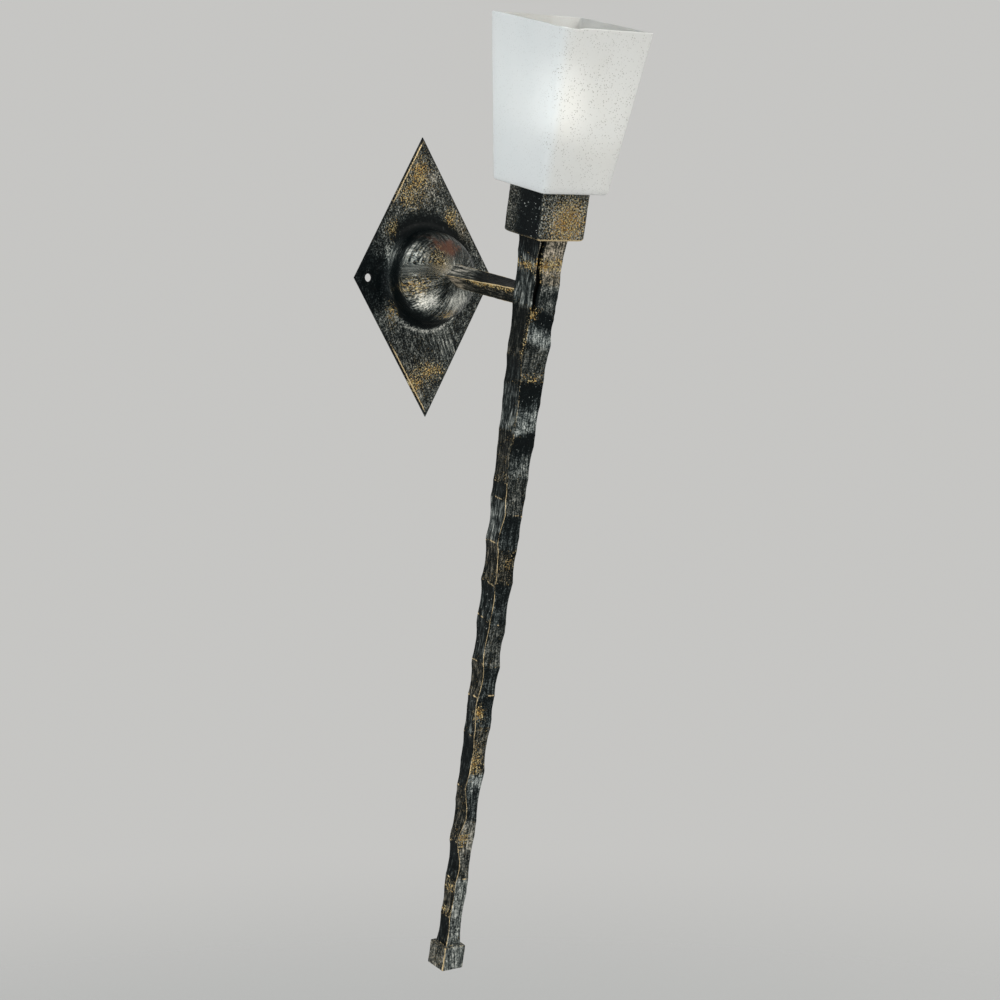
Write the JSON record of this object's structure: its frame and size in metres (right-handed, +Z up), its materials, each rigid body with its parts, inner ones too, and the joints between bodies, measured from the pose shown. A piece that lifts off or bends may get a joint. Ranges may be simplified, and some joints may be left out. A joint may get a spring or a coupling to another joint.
{
  "type": "torch sconce",
  "caption": "Leaning hammered torch under a flared square glass shade, held off a rhombic domed wall plate by a short twisted arm.",
  "frame": {"origin": "in the wall plane, at the centre of the wall plate, midway between its two screw holes", "axes": "+Z up along the plate's long diagonal; +Y into the wall, so the light stands out towards -Y; +X to the right of someone facing it"},
  "size_m": [0.156, 0.2669, 0.8656],
  "materials": {
    "patinated_iron": "hand-forged, near-black patina dry-brushed ochre, rust and silver",
    "frosted_glass": "satin, with small seeds",
    "soft_black": "matte",
    "black_plastic": "moulded, low sheen",
    "zinc_steel": "zinc plated",
    "porcelain": "glazed white",
    "brass": "plain",
    "nickel": "nickel plated",
    "solder": "dull solder",
    "black_glass": "gloss",
    "opal_white": "opal diffuser",
    "ivory_plastic": "moulded",
    "live_brown": "insulated conductor",
    "neutral_blue": "insulated conductor",
    "earth_green": "insulated conductor, yellow stripe"
  },
  "bodies": {
    "root": {"wall_plate": "patinated_iron", "arm": "patinated_iron", "stem": "patinated_iron", "stem_knob": "patinated_iron", "collar": "patinated_iron", "collar_floor": "patinated_iron", "shade_gasket": "soft_black", "holder_nipple": "zinc_steel", "nipple_nuts": "zinc_steel", "holder_cap": "black_plastic", "holder_shell": "black_plastic", "holder_insert": "porcelain", "screw_shell": "brass", "centre_contact": "brass", "holder_terminals": "brass", "holder_screws": "zinc_steel", "terminal_block": "ivory_plastic", "terminal_tubes": "brass", "terminal_screws": "zinc_steel", "block_screw": "zinc_steel", "terminal_bracket": "zinc_steel", "earth_tag": "brass", "earth_screw": "brass", "wire_bush": "black_plastic", "live_wire": "live_brown", "neutral_wire": "neutral_blue", "earth_wire": "earth_green"},
    "shade": {"glass_shade": "frosted_glass"},
    "ring": {"shade_ring": "black_plastic"},
    "bulb": {"bulb_contact": "solder", "bulb_insulator": "black_glass", "bulb_cap": "nickel", "bulb_diffuser": "opal_white"}
  },
  "joints": [
    {"name": "shade_lift", "type": "slide", "parent": "root", "child": "shade", "axis": [0, -0.2207, 0.9753], "range_m": [0, 0.13]},
    {"name": "ring_turn", "type": "hinge", "parent": "shade", "child": "ring", "pos_m": [0, -0.18753, 0.08089], "axis": [0, -0.2207, 0.9753], "continuous": true},
    {"name": "bulb_lift", "type": "slide", "parent": "root", "child": "bulb", "axis": [0, -0.2207, 0.9753], "range_m": [0, 0.14]}
  ]
}
